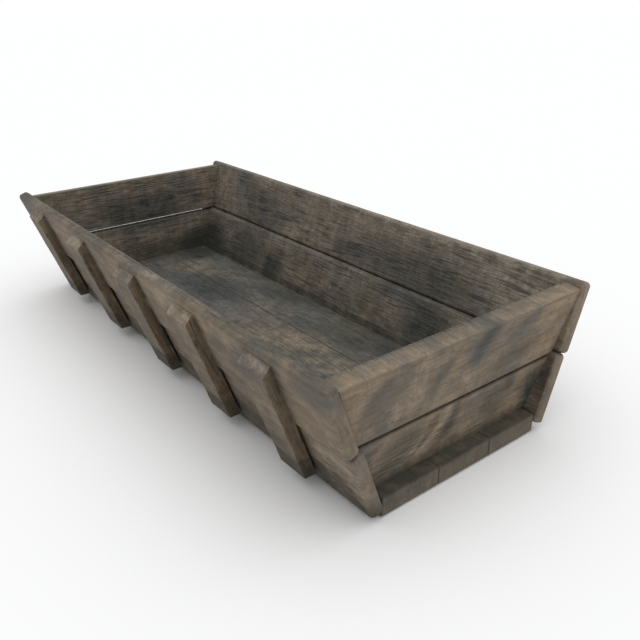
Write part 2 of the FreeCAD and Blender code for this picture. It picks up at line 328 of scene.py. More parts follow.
class Board:
    """One board: its local axes run along it, across it, and outward through it."""

    def __init__(self, node, along, across, through, radius, foot_power=ROUND,
                 square_ends=False):
        self.node = node
        self.axes = np.stack([along, across, through])
        reaches = [span(node, axis) for axis in self.axes]
        self.low = np.array([low for low, high in reaches])
        self.size = np.array([high - low for low, high in reaches])
        self.radius = radius
        self.foot_power = foot_power
        self.square_ends = square_ends

    def to_frame(self, local):
        """Points in the board's own axes as points in the shared frame."""
        return (local + self.low) @ self.axes

    def from_joint(self, local, axis, at_high):
        """Distance of each point from the low or high face across an axis."""
        return self.size[axis] - local[:, axis] if at_high else local[:, axis]

    def keep_joints(self, depth, local, joints):
        """The faces that bear on another board stay unworn."""
        for axis, at_high in joints:
            away = self.from_joint(local, axis, at_high)
            depth = depth * (JOINT_WEAR + (1 - JOINT_WEAR) * ramp(away, 0, UNWORN))
        return depth

    def seam_dirt(self, local, joints):
        """Dirt collects where a board meets its neighbour."""
        dirt = np.zeros(len(local))
        for axis, at_high in joints:
            away = self.from_joint(local, axis, at_high)
            dirt = np.maximum(dirt, SEAM_DIRT * (1 - ramp(away, *SEAM_BAND)))
        return dirt

    def build(self, seed, slot, wall, lengthwise, cut=None, joints=(), groove=GROOVE, chip=CHIP,
              shelter=0.0, bleached_and_lit=0.0):
        """Makes the piece; cut(board, local) places the points where a joint shapes the board.

        shelter says how much less weathered the board is on its sides, and bleached_and_lit how
        much paler its head is, partly bleaching and partly painted light.
        """
        flat, faces = box_grid(self.size, self.radius, (STEP_ALONG, STEP_ACROSS, STEP_ACROSS))
        if np.linalg.det(self.axes) < 0:
            faces = [(axis, at_high, quads[:, ::-1]) for axis, at_high, quads in faces]
        grain = grain_map(flat, faces, self.size, seed * FIGURE_SHIFT, lengthwise)
        local = round_edges(flat, self.size, self.radius, self.foot_power, self.square_ends)
        placed = cut(self, local) if cut else self.to_frame(local)
        mesh = make_mesh(self.node, placed, faces, grain)
        depth = weathering(flat, self.size, self.radius, seed, groove, chip)
        depth = self.keep_joints(depth, flat, joints)
        placed = placed - normals_of(mesh) * depth[:, None]
        mesh.vertices.foreach_set("co", placed.astype(np.float32).ravel())
        wear = wear_of(flat, self.size, self.radius, seed)
        dirt = self.seam_dirt(flat, joints)
        self.mark(mesh, placed, wall, wear, dirt, shelter, bleached_and_lit)
        self.finish(mesh, slot)

    def mark(self, mesh, placed, wall, wear, dirt, shelter, bleached_and_lit):
        """Keeps what the material reads: wear, dirt, stains, grain, and painted light and shade.
        """
        normals = normals_of(mesh)
        # Painted light: the head facet facing up the board is made paler, partly as bleaching.
        bleached_lit_head = bleached_and_lit * ramp(normals @ self.axes[0], *HEAD_FACING)
        on_side = shelter * ramp(np.abs(normals[:, 0]), *SIDE_FACING)
        add_value(mesh, "wear", np.maximum(wear, bleached_lit_head))
        add_value(mesh, "inside", inside(placed))
        add_value(mesh, "sheltered", on_side)
        add_value(mesh, "lined", np.maximum(lined(placed, wall), on_side))
        add_value(mesh, "grime_and_shade", np.maximum(grime_and_shade(placed, wall), dirt))
        for kind in STAIN_TINTS:
            add_value(mesh, kind, stained(placed, wall, kind))

    def finish(self, mesh, slot):
        """Makes the object, in the place of its CAD node."""
        mesh.shade_smooth()
        mesh.set_sharp_from_angle(angle=SHARP_ANGLE)
        mesh.materials.append(WOODS[slot])
        piece = bpy.data.objects.new(self.node + "_wood", mesh)
        bpy.context.scene.collection.objects.link(piece)
        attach(piece, "root")
        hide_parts(self.node)


# ------------------------------------------------------------------ how the joints shape a board

def mirrored(axis, side):
    """An axis of the +Y side, turned to the other side where side is -1."""
    return axis * np.array((1, side, 1))


def beside_floor(board, local):
    """The lower side planks are planed flat where they bear on the floor's edge."""
    placed = board.to_frame(local)
    too_deep = (placed[:, 2] < FLOOR_TOP) & (np.abs(placed[:, 1]) < HALF_FLOOR)
    placed[too_deep, 1] = np.sign(placed[too_deep, 1]) * HALF_FLOOR
    return placed


def worn_under(board, local):
    """Floor boards are worn away a little under their ends."""
    from_end = np.minimum(local[:, 0], board.size[0] - local[:, 0])
    bent = local.copy()
    under = 1 - local[:, 2] / board.size[2]
    bent[:, 2] += UNDERCUT * under * (1 - ramp(from_end, 0, 4 * UNDERCUT))
    return board.to_frame(bent)


def over_lower_plank(height):
    """How far out an end board reaches where it is scribed over the lower plank's round top."""
    middle = (LOWER_FACE + SIDE_RADIUS) * SIDE_OUT + (LOWER_TOP - SIDE_RADIUS) * SIDE_UP
    above = np.clip(height - middle[2], 0, SIDE_RADIUS)
    scribed = middle[1] - np.sqrt(SIDE_RADIUS ** 2 - above ** 2)
    return np.where(height < middle[2] + SIDE_RADIUS, scribed, math.inf)


def between_sides(plank_face, level_foot):
    """End boards run from side plank to side plank; the lower ones also sit level on the floor."""
    def cut(board, local):
        """Places the points of one end board."""
        bent = local.copy()
        if level_foot:
            lift = local[:, 2] * math.tan(END_TILT)
            bent[:, 1] = lift + local[:, 1] * (1 - lift / board.size[1])
        placed = board.to_frame(bent)
        limit = (plank_face + placed[:, 2] * math.sin(SIDE_LEAN)) / math.cos(SIDE_LEAN)
        if not level_foot:
            limit = np.minimum(limit, over_lower_plank(placed[:, 2]))
        share = 2 * local[:, 0] / board.size[0] - 1
        placed[:, 1] = board.axes[0, 1] * share * (limit + BUTT)
        return placed
    return cut


def bevelled(board, local):
    """Battens have a bevelled head and a level foot, and bed a little way into the planks."""
    bent = local.copy()
    start = local[:, 2] * math.tan(SIDE_LEAN)
    stop = board.size[0] - local[:, 2] * math.tan(BATTEN_BEVEL - SIDE_LEAN)
    bent[:, 0] = start + local[:, 0] / board.size[0] * (stop - start)
    bent[:, 2] -= BED * (1 - ramp(local[:, 2], 0, 2 * BED))
    return board.to_frame(bent)


# ------------------------------------------------------------------ inside and outside

# How far past the trough's ends, its sides and its floor's top the outside look begins
PAST_ENDS = (-0.060, -0.050)
PAST_SIDES = (-0.028, -0.012)
PAST_TOP = (-0.006, -0.002)

# How strongly the grain stands out outside the trough, and how much more near the ground
OUTSIDE_GRAIN = 0.30
LOW_GRAIN = 0.45
LOW_HEIGHTS = (0.08, 0.24)

# How far from a side plank's end its grain, its splashes and its sheltered dirt begin to fade,
# and how near it they are gone
GRAIN_FADE = (0.014, 0.003)
SPLASH_FADE = (0.069, 0.004)
SHELTERED_FADE = (0.012, 0.004)


def depth_inside(points):
    """How far each point is in from the trough's ends and from its sides."""
    from_end = INSIDE_LENGTH - np.abs(points[:, 0])
    from_side = HALF_FLOOR + points[:, 2] * math.tan(SIDE_LEAN) - np.abs(points[:, 1])
    return from_end, from_side


def inside(points):
    """1 on the surfaces that face into the trough, and 0 outside."""
    from_end, from_side = depth_inside(points)
    above = ramp(points[:, 2] - FLOOR_TOP, *PAST_TOP)
    return ramp(from_end, *PAST_ENDS) * ramp(from_side, *PAST_SIDES) * above


def near_plank_end(points, start, stop):
    """0 along a side plank, rising to 1 between two distances from its end."""
    return ramp(np.abs(points[:, 0]), PLANK_END - start, PLANK_END - stop)


def lined(points, wall):
    """How strongly the grain stands out: most inside, and outside most near the ground."""
    low = (1 - ramp(points[:, 2], *LOW_HEIGHTS)) * (wall != "floor")
    low *= 1 - near_plank_end(points, *GRAIN_FADE)
    return np.maximum(inside(points), OUTSIDE_GRAIN + LOW_GRAIN * low)


# ------------------------------------------------------------------ stains

# The two directions in which each wall's stains are placed
WALL_AXES = {"near": (0, 2), "far": (0, 2), "right": (1, 2), "left": (1, 2), "floor": (0, 1)}

# Each stain: its kind, its middle, how far it reaches each way, its turn in degrees, its strength
STAINS = {
    "far": (
        ("tan", 0.12, 0.41, 0.36, 0.035, 0, 0.9),
        ("pale", 0.25, 0.414, 0.85, 0.022, 0, 1.0),
        ("pale", 0.88, 0.410, 0.10, 0.030, 0, 1.0),
        ("pale", 0.44, 0.390, 0.36, 0.050, 0, 0.6),
        ("tan", 0.20, 0.355, 0.10, 0.050, 0, 0.8),
        ("tan", 0.97, 0.34, 0.04, 0.060, 0, 0.9),
        ("pale", 0.97, 0.31, 0.02, 0.070, 0, 0.8),
        ("tan", -0.08, 0.32, 0.10, 0.070, 0, 0.8),
        ("tan", 0.24, 0.35, 0.12, 0.040, 0, 0.6),
        ("pale", 0.82, 0.35, 0.22, 0.130, 0, 0.9),
        ("dark", -0.50, 0.28, 0.22, 0.110, 10, 0.5),
        ("dark", 0.42, 0.28, 0.30, 0.095, -5, 0.6),
        ("dark", 0.07, 0.27, 0.10, 0.050, 0, 0.5),
        ("slate", -0.66, 0.36, 0.12, 0.060, 0, 0.5),
        ("slate", 0.22, 0.27, 0.20, 0.050, 0, 0.5),
        ("dark", -0.80, 0.10, 0.12, 0.100, 0, 0.9),
        ("dark", -0.54, 0.15, 0.17, 0.080, 0, 0.6),
        ("tan", -0.71, 0.17, 0.07, 0.035, 0, 0.5),
        ("dark", -0.35, 0.11, 0.09, 0.070, 0, 1.0),
        ("tan", -0.12, 0.13, 0.14, 0.070, 0, 0.9),
        ("tan", 0.20, 0.12, 0.12, 0.050, 0, 0.2),
        ("slate", 0.40, 0.20, 0.20, 0.035, 0, 0.7),
        ("olive", 0.24, 0.15, 0.10, 0.050, 0, 0.4),
        ("dark", 0.52, 0.14, 0.12, 0.080, 0, 0.8),
    ),
    "left": (
        ("tan", -0.27, 0.35, 0.14, 0.080, 0, 0.6),
        ("tan", 0.32, 0.33, 0.08, 0.090, 0, 0.7),
        ("dark", 0.03, 0.27, 0.26, 0.090, 0, 0.8),
        ("dark", -0.05, 0.20, 0.06, 0.035, 0, 0.5),
        ("dark", 0.27, 0.07, 0.16, 0.080, 0, 1.0),
        ("tan", -0.12, 0.16, 0.12, 0.050, 0, 0.3),
    ),
    "floor": (
        ("tan", -0.68, 0.12, 0.09, 0.130, 30, 0.55),
        ("tan", -0.47, 0.18, 0.11, 0.050, 0, 0.4),
        ("slate", -0.56, 0.00, 0.14, 0.080, 0, 0.7),
        ("dark", -0.40, 0.07, 0.17, 0.100, 10, 0.8),
        ("slate", -0.32, -0.02, 0.10, 0.070, 0, 0.7),
        ("dark", -0.16, 0.23, 0.15, 0.050, 10, 0.7),
        ("tan", 0.16, 0.02, 0.20, 0.080, 20, 0.8),
        ("tan", 0.36, 0.02, 0.14, 0.080, 10, 0.5),
        ("tan", -0.12, 0.10, 0.10, 0.050, 20, 0.3),
        ("olive", 0.24, 0.21, 0.18, 0.080, 20, 0.7),
        ("dark", 0.44, 0.23, 0.12, 0.060, 0, 0.8),
        ("dark", 0.33, 0.17, 0.08, 0.050, 0, 0.5),
        ("dark", -0.79, 0.22, 0.10, 0.100, 0, 0.9),
    ),
    "right": (
        ("tan", -0.38, 0.37, 0.06, 0.045, 0, 0.8),
        ("slate", -0.28, 0.33, 0.09, 0.050, 35, 0.5),
        ("dark", -0.30, 0.34, 0.06, 0.020, 35, 0.25),
        ("pale", -0.165, 0.34, 0.12, 0.030, 66, 0.9),
        ("pale", -0.235, 0.27, 0.05, 0.022, 66, 0.6),
        ("slate", -0.11, 0.29, 0.06, 0.030, 66, 0.6),
        ("slate", 0.05, 0.35, 0.07, 0.055, 60, 1.0),
        ("dark", 0.06, 0.36, 0.04, 0.030, 60, 0.4),
        ("pale", 0.01, 0.28, 0.09, 0.025, 55, 0.5),
        ("slate", 0.20, 0.37, 0.08, 0.025, 10, 0.6),
        ("tan", 0.33, 0.31, 0.05, 0.060, 0, 0.5),
        ("olive", 0.17, 0.27, 0.10, 0.035, 20, 0.5),
        ("pale", -0.095, 0.155, 0.09, 0.022, 62, 1.0),
        ("pale", -0.150, 0.150, 0.06, 0.014, 62, 0.7),
        ("dark", -0.125, 0.160, 0.07, 0.012, 62, 0.5),
        ("olive", -0.03, 0.150, 0.09, 0.030, 62, 0.8),
        ("olive", -0.22, 0.150, 0.10, 0.050, 30, 0.6),
        ("slate", 0.07, 0.175, 0.08, 0.035, 40, 0.5),
        ("olive", 0.16, 0.160, 0.09, 0.060, 30, 0.8),
        ("dark", 0.30, 0.13, 0.06, 0.100, 0, 0.9),
    ),
    "near": (
        ("slate", 0.93, 0.38, 0.08, 0.050, 0, 0.8),
        ("slate", 0.70, 0.38, 0.07, 0.045, 0, 0.7),
        ("slate", -0.93, 0.38, 0.12, 0.060, 0, 0.8),
        ("tan", 0.24, 0.38, 0.16, 0.045, 0, 0.9),
        ("pale", 0.23, 0.39, 0.13, 0.050, 0, 1.0),
        ("tan", -0.08, 0.38, 0.10, 0.045, 0, 0.3),
        ("olive", -0.17, 0.40, 0.08, 0.040, 0, 0.5),
        ("tan", 0.50, 0.38, 0.12, 0.040, 0, 0.6),
        ("tan", 0.86, 0.26, 0.12, 0.050, 0, 0.3),
        ("pale", 0.90, 0.14, 0.10, 0.080, 0, 0.8),
        ("olive", 0.98, 0.03, 0.09, 0.055, 0, 1.0),
        ("olive", 0.60, 0.12, 0.14, 0.060, 0, 0.6),
        ("olive", 0.26, 0.10, 0.12, 0.060, 0, 0.5),
        ("slate", 0.60, 0.30, 0.07, 0.060, 40, 0.5),
        ("slate", 0.26, 0.27, 0.08, 0.050, 40, 0.4),
    ),
}

# How stained the sawn ends of the floor boards are: olive all over, and tan along the ground
END_OLIVE = 0.35
END_TAN = 0.45
END_TAN_HEIGHTS = (0.012, 0.045)

# How a stain fades from its middle outward, as a share of its reach
STAIN_FADE = (0.35, 1.25)

# How far a stain's outline wanders along a wall and across it, in large bends and in small
# ones, how many of them there are per metre, and their seeds
WANDER_ALONG = (0.030, 0.010)
WANDER_ACROSS = (0.016, 0.006)
BENDS = (14, 45)
SEED_ALONG = 81
SEED_ACROSS = 83
END_TAN_SEED = 85


def turned(first, second, degrees):
    """Two distances, turned by an angle."""
    angle = math.radians(degrees)
    return (first * math.cos(angle) + second * math.sin(angle),
            second * math.cos(angle) - first * math.sin(angle))


def ragged(points, wander, seed):
    """How far a stain's outline wanders at each point, in large bends and in small ones."""
    large, small = wander
    return large * noise(points, BENDS[0], seed) + small * noise(points, BENDS[1], seed + 1)


def stained_end(points, kind):
    """How deep one kind of stain is on the sawn ends of the floor boards."""
    at_end = ramp(np.abs(points[:, 0]), FLOOR_END - 0.009, FLOOR_END - 0.002)
    if kind == "olive":
        return END_OLIVE * at_end
    if kind == "tan":
        height = points[:, 2] + 0.012 * noise(points, 9, END_TAN_SEED)
        return END_TAN * at_end * (1 - ramp(height, *END_TAN_HEIGHTS))
    return 0 * at_end


def stained(points, wall, kind):
    """How deep one kind of stain is at each point, from 0 to 1, with ragged edges."""
    first, second = WALL_AXES[wall]
    first_place = points[:, first] + ragged(points, WANDER_ALONG, SEED_ALONG)
    second_place = points[:, second] + ragged(points, WANDER_ACROSS, SEED_ACROSS)
    depth = np.zeros(len(points))
    for what, u, v, reach_u, reach_v, turn, strength in STAINS[wall]:
        if what == kind:
            along, across = turned(first_place - u, second_place - v, turn)
            distance = np.hypot(along / reach_u, across / reach_v)
            depth = np.maximum(depth, strength * (1 - ramp(distance, *STAIN_FADE)))
    if wall == "floor":
        depth *= ramp(points[:, 2], FLOOR_TOP - 0.008, FLOOR_TOP - 0.002)
        depth = np.maximum(depth, stained_end(points, kind))
    return depth


# ------------------------------------------------------------------ dirt and painted shade

# How thick the dirt with painted shade is, from 0 to 1: inside the trough, low on its walls, on
# its floor, and then more towards the ends and the sides, up to a limit
WALL_DIRT_AND_SHADE = 0.42
FLOOR_DIRT_AND_SHADE = 0.15
END_CORNER_DIRT_AND_SHADE = 0.35
SIDE_CORNER_DIRT_AND_SHADE = 0.50
MOST_CORNER_DIRT_AND_SHADE = 0.85

# And outside: on the rim; on the ledge and along the foot of an end board, dirt and painted
# shade; painted shade where it meets the far side and beside the battens; splashed along the
# ground; and in the seams between boards
RIM_DIRT = 0.52
LEDGE_DIRT_AND_SHADE = 0.72
FOOT_DIRT_AND_SHADE = 0.85
END_JOINT_SHADE = 0.42
SPLASHED_DIRT = 0.70
BATTEN_SHADE = 0.42
SEAM_DIRT = 0.50

# Painted shade on the lower side planks past the end boards, how much less on the upper ones,
# the heights between which it changes, and the place of the planks' inner faces
PAST_END_SHADE = 0.95
UPPER_LESS = 0.40
UPPER_HEIGHTS = (0.20, 0.24)
INNER_FACE = (-0.018, -0.012)

# How far the dirt and painted shade reach: inside, up the walls and in from the ends and the
# sides; outside, up the foot of an end board, down from the rim and in from the far side
UP_WALLS = 0.20
FROM_ENDS = 0.16
FROM_SIDES = 0.10
FOOT_HEIGHT = 0.055
RIM_BAND = (-0.020, -0.011)
END_JOINT_BAND = (-0.006, 0.024)

# And the painted shade from a batten: along the plank, up past its head, and out from the plank's
# face
ALONG_BAND = (0.002, 0.032)
HEAD_BAND = (-0.004, 0.016)
FACE_BAND = (0.004, 0.016)

# How high the splashes reach along the side, how much lower at the planks' ends, and how soft
# their edge is
SPLASH_HEIGHT = 0.110
SPLASH_DROP = 0.080
SPLASH_EDGE = 0.008

# Seeds of the noises that break up the dirt's thickness and its outlines
PATCHY_SEED = 77
SPLASH_SEED = 78
SPILT_SEED = 79


def corner_dirt_and_shade(points, wall, patchy):
    """Dirt and painted shade inside the trough, thickest in its corners."""
    from_end, from_side = depth_inside(points)
    height = points[:, 2] - FLOOR_TOP
    low = 1 - ramp(height, 0.03, UP_WALLS * patchy)
    end = low * (1 - ramp(from_end, 0.0, FROM_ENDS * patchy))
    side = (1 - ramp(from_side, 0.0, FROM_SIDES * patchy)) * (height < 0.02)
    share = FLOOR_DIRT_AND_SHADE if wall == "floor" else WALL_DIRT_AND_SHADE
    # Dirt with painted shade, darkest in the inside corners and low on the walls.
    dirt = share * low + END_CORNER_DIRT_AND_SHADE * end + SIDE_CORNER_DIRT_AND_SHADE * side
    return inside(points) * np.clip(dirt, 0, MOST_CORNER_DIRT_AND_SHADE)


def rim_dirt(points, patchy):
    """Dirt on the top edge of the trough."""
    return RIM_DIRT * patchy * ramp(points[:, 2] - RIM, *RIM_BAND)


def ledge_dirt_and_shade(points):
    """Dirt and painted shade on the ledge outside an end board, spilt a little way over the
    floor's end.
    """
    ledge = ramp(np.abs(points[:, 0]), INSIDE_LENGTH, INSIDE_LENGTH + 0.05)
    spilt = 0.004 * noise(points, 40, SPILT_SEED) - 0.004
    # Dirt with painted shade over the ledge.
    return LEDGE_DIRT_AND_SHADE * ledge * ramp(points[:, 2] - FLOOR_TOP, spilt - 0.004, spilt)


def end_board_dirt_and_shade(points, patchy):
    """Outside an end board: dirt and painted shade along its foot; painted shade where it meets
    the far side.
    """
    from_side = depth_inside(points)[1]
    # Dirt with painted shade along the foot; painted shade where the end board meets the far side.
    foot = FOOT_DIRT_AND_SHADE * (1 - ramp(points[:, 2] - FLOOR_TOP, 0.0, FOOT_HEIGHT * patchy))
    beside = (1 - ramp(from_side, *END_JOINT_BAND)) * (points[:, 1] > 0)
    return np.maximum(foot, END_JOINT_SHADE * patchy * beside) * (1 - inside(points))


def beside_battens(points):
    """1 where a side plank meets a batten, fading to 0 away from it along and outward."""
    outward = np.stack([points[:, 0], np.abs(points[:, 1]), points[:, 2]], axis=1) @ SIDE_OUT
    from_plank = np.abs(outward - BATTEN_BACK)
    from_batten = np.min([np.abs(points[:, 0] - middle) for middle in BATTEN_MIDDLES], axis=0)
    along = 1 - ramp(np.abs(from_batten - HALF_BATTEN), *ALONG_BAND)
    below_head = 1 - ramp(points[:, 2] - BATTEN_HEAD, *HEAD_BAND)
    return along * below_head * (1 - ramp(from_plank, *FACE_BAND))


def splashed(points):
    """Dirt splashed up from the ground along the outside of a side."""
    edge = SPLASH_HEIGHT - SPLASH_DROP * near_plank_end(points, *SPLASH_FADE)
    edge += 0.004 * noise(points, 9, SPLASH_SEED)
    below = 1 - ramp(points[:, 2], edge - SPLASH_EDGE, edge + SPLASH_EDGE)
    return SPLASHED_DIRT * below * (1 - inside(points))


def shade_past_end_board(points):
    """Painted shade on the inner face of a side plank, in the sheltered strip outside the end
    board.
    """
    from_end, from_side = depth_inside(points)
    inner_face = ramp(from_side, *INNER_FACE) * (1 - near_plank_end(points, *SHELTERED_FADE))
    thickness = PAST_END_SHADE - UPPER_LESS * ramp(points[:, 2], *UPPER_HEIGHTS)
    # Painted shade in the strip past the end board.
    return thickness * (1 - ramp(from_end, *PAST_ENDS)) * inner_face


def grime_and_shade(points, wall):
    """All the dirt and painted shade on a board, from 0 to 1."""
    patchy = 0.8 + 0.4 * noise(points, 6, PATCHY_SEED)
    dirt = [corner_dirt_and_shade(points, wall, patchy)]
    if wall != "far":
        dirt.append(rim_dirt(points, patchy))
    if wall == "floor":
        dirt.append(ledge_dirt_and_shade(points))
    elif wall in ("left", "right"):
        dirt.append(end_board_dirt_and_shade(points, patchy))
    else:
        dirt.append(splashed(points))
        # Painted shade on the side planks' inner faces past the end boards.
        dirt.append(patchy * shade_past_end_board(points))
        # Painted shade on the plank beside each batten.
        dirt.append(BATTEN_SHADE * patchy * beside_battens(points))
    return np.max(dirt, axis=0)


# ------------------------------------------------------------------ wood

def shown_colour(red, green, blue):
    """A display colour from 0 to 255 as the linear colour that a shader takes."""
    linear = []
    for part in (red, green, blue):
        share = part / 255
        linear.append(share / 12.92 if share <= 0.04045 else ((share + 0.055) / 1.055) ** 2.4)
    return (*linear, 1.0)


STAIN_TINTS = {
    "tan": shown_colour(146, 128, 106),
    "pale": shown_colour(156, 141, 122),
    "slate": shown_colour(90, 91, 89),
    "olive": shown_colour(82, 80, 67),
    "dark": shown_colour(60, 63, 58),
}
DIRT_AND_SHADE_TINT = shown_colour(57, 57, 48)
SHELTERED = shown_colour(116, 100, 79)

# What the colour is multiplied by inside the trough as painted shade, and on the grain's dark
# lines
INSIDE_SHADE = (0.84, 0.90, 0.97, 1.0)
LINE_SHADE = (0.50, 0.51, 0.53, 1.0)

# The wood's gloss, and how deep and how strong its finest relief is
SPECULAR = 0.3
RELIEF_DEPTH = 0.0010
RELIEF_STRENGTH = 0.7

# The noises that the looks share, each with its scale in bumps per metre, detail, roughness and
# distortion.  These are laid in space:
SPACE_NOISES = {
    "cloud": ((5, 5, 5), 5, 0.60, 0.5),
    "second_cloud": ((7, 7, 8), 5, 0.62, 0.7),
    "mottle": ((20, 20, 20), 7, 0.70, 0.3),
    "speckle": ((130, 130, 130), 2, 0.60, 0.0),
    "runs": ((42, 42, 7), 3, 0.60, 0.0),
}
# and these along and across the grain, which drifts a little:
GRAIN_NOISES = {
    "bands": ((3, 45, 1), 3, 0.55, 0.0),
    "dashes": ((15, 230, 1), 2, 0.60, 0.0),
    "scratches": ((9, 120, 1), 3, 0.60, 0.0),
    "checks": ((2.2, 40, 1), 2, 0.50, 0.0),
}
GRAIN_DRIFT_SCALE = (3, 16, 1)
GRAIN_DRIFT = (0.03, 0.007, 0)


class Wood:
    """A wood's shader tree: helpers that add nodes and join them, and the noises it shares."""

    def __init__(self, name):
        self.material = bpy.data.materials.new(name)
        self.material.use_nodes = True
        self.tree = self.material.node_tree
        self.shader = self.tree.nodes["Principled BSDF"]
        place = self.tree.nodes.new("ShaderNodeTexCoord").outputs["Object"]
        figure = self.figure()
        self.noises = {}
        for kind, (scale, *shape) in SPACE_NOISES.items():
            self.noises[kind] = self.noise(place, scale, *shape)
        for kind, (scale, *shape) in GRAIN_NOISES.items():
            self.noises[kind] = self.noise(figure, scale, *shape)

    def figure(self):
        """Places along and across the grain, pushed about a little so that the grain drifts."""
        uv = self.tree.nodes.new("ShaderNodeUVMap")
        uv.uv_map = "grain"
        drift = self.noise(uv.outputs[0], GRAIN_DRIFT_SCALE, 2, 0.5, 0.0, "Color")
        push = self.tree.nodes.new("ShaderNodeVectorMath")
        push.operation = "MULTIPLY_ADD"
        self.join(drift, push.inputs[0])
        push.inputs[1].default_value = GRAIN_DRIFT
        self.join(uv.outputs[0], push.inputs[2])
        return push.outputs[0]

    def join(self, source, target):
        self.tree.links.new(source, target)

    def put(self, value, socket):
        """Gives a socket a fixed value, or joins another socket to it."""
        if isinstance(value, bpy.types.NodeSocket):
            self.join(value, socket)
        else:
            socket.default_value = value

    def value(self, name):
        """A number that the mesh keeps for each point."""
        node = self.tree.nodes.new("ShaderNodeAttribute")
        node.attribute_name = name
        return node.outputs["Fac"]

    def noise(self, vector, scale, detail, roughness, distortion, output="Fac"):
        """Cloudy noise, stretched by a scale along each axis."""
        mapping = self.tree.nodes.new("ShaderNodeMapping")
        self.join(vector, mapping.inputs["Vector"])
        mapping.inputs["Scale"].default_value = scale
        node = self.tree.nodes.new("ShaderNodeTexNoise")
        self.join(mapping.outputs[0], node.inputs["Vector"])
        node.inputs["Scale"].default_value = 1.0
        node.inputs["Detail"].default_value = detail
        node.inputs["Roughness"].default_value = roughness
        node.inputs["Distortion"].default_value = distortion
        return node.outputs[output]

    def ramp(self, value, low, high, to_low=0.0, to_high=1.0):
        """A smooth step; value is a socket, or the name of one of the shared noises."""
        node = self.tree.nodes.new("ShaderNodeMapRange")
        node.interpolation_type = "SMOOTHSTEP"
        self.join(self.noises.get(value, value), node.inputs["Value"])
        node.inputs["From Min"].default_value = low
        node.inputs["From Max"].default_value = high
        node.inputs["To Min"].default_value = to_low
        node.inputs["To Max"].default_value = to_high
        return node.outputs[0]

    def maths(self, operation, first, second):
        node = self.tree.nodes.new("ShaderNodeMath")
        node.operation = operation
        self.put(first, node.inputs[0])
        self.put(second, node.inputs[1])
        return node.outputs[0]

    def times(self, first, second):
        return self.maths("MULTIPLY", first, second)

    def mix(self, share, first, second, blend="MIX"):
        """The first colour where the share is 0, and the second where it is 1."""
        node = self.tree.nodes.new("ShaderNodeMix")
        node.data_type = "RGBA"
        node.blend_type = blend
        self.put(share, node.inputs["Factor"])
        self.put(first, node.inputs["A"])
        self.put(second, node.inputs["B"])
        return node.outputs["Result"]

    def shaded(self, colour, by):
        """A colour times a number or another colour."""
        return self.mix(1.0, colour, by, "MULTIPLY")

    def bump(self, height):
        """The surface's direction, with the wood's fine relief on it."""
        node = self.tree.nodes.new("ShaderNodeBump")
        node.inputs["Distance"].default_value = RELIEF_DEPTH
        node.inputs["Strength"].default_value = RELIEF_STRENGTH
        self.join(height, node.inputs["Height"])
        return node.outputs[0]


def clouded(wood, plain, warm, cool):
    """The bare wood: cloudy colours, stains over them, and fresher wood on sheltered sides."""
    colour = wood.mix(wood.ramp("cloud", 0.38, 0.62), warm, plain)
    colour = wood.mix(wood.ramp("second_cloud", 0.50, 0.66, 0.0, 0.8), colour, cool)
    mottled = wood.ramp("mottle", 0.35, 0.65, 0.6, 1.2)
    for kind, tint in STAIN_TINTS.items():
        colour = wood.mix(wood.times(wood.value(kind), mottled), colour, tint)
    colour = wood.mix(wood.value("sheltered"), colour, SHELTERED)
    colour = wood.shaded(colour, wood.ramp("mottle", 0.34, 0.66, 0.86, 1.14))
    return wood.shaded(colour, wood.ramp("mottle", 0.46, 0.54, 0.96, 1.04))


def fine_grain(wood, figure):
    """The shade of the short dashes and specks in the grain."""
    dashes = wood.ramp("dashes", 0.36, 0.60, 1 - 0.30 * figure, 1.10)
    return wood.times(dashes, wood.ramp("speckle", 0.34, 0.66, 0.88, 1.12))


def grain_lines(wood, figure, strength):
    """How deep the dark lines are: faint scratches everywhere, and thin checks in patches."""
    from_check = wood.maths("ABSOLUTE", wood.maths("SUBTRACT", wood.noises["checks"], 0.5), 0.0)
    checks = wood.times(wood.ramp(from_check, 0.007, 0.040, 1.0, 0.0),
                        wood.ramp("second_cloud", 0.36, 0.58))
    scratches = wood.times(wood.ramp("scratches", 0.57, 0.64), 0.35)
    lines = wood.maths("MAXIMUM", scratches, checks)
    return wood.times(lines, wood.ramp(strength, 0, 1, 0.15, figure))


def aged(wood, colour, worn):
    """Rubbed edges, streaks, painted shade inside the trough, dirt and painted shade over it all.
    """
    wear = wood.times(wood.value("wear"), wood.ramp("mottle", 0.42, 0.62, 0.0, 0.8))
    colour = wood.mix(wear, colour, worn)
    # Painted shade: the colour is darkened inside the trough.
    painted_inside_shade = wood.shaded(colour, INSIDE_SHADE)
    painted_inside_shade = wood.shaded(painted_inside_shade, wood.ramp("runs", 0.35, 0.65, 0.88, 1.10))
    colour = wood.mix(wood.value("inside"), colour, painted_inside_shade)
    dirt = wood.times(wood.value("grime_and_shade"), wood.ramp("mottle", 0.3, 0.66, 1.08, 0.72))
    # Dirt and painted shade, in one dark tint.
    return wood.mix(dirt, colour, wood.shaded(DIRT_AND_SHADE_TINT, wood.ramp("dashes", 0.34, 0.62, 0.78, 1.10)))


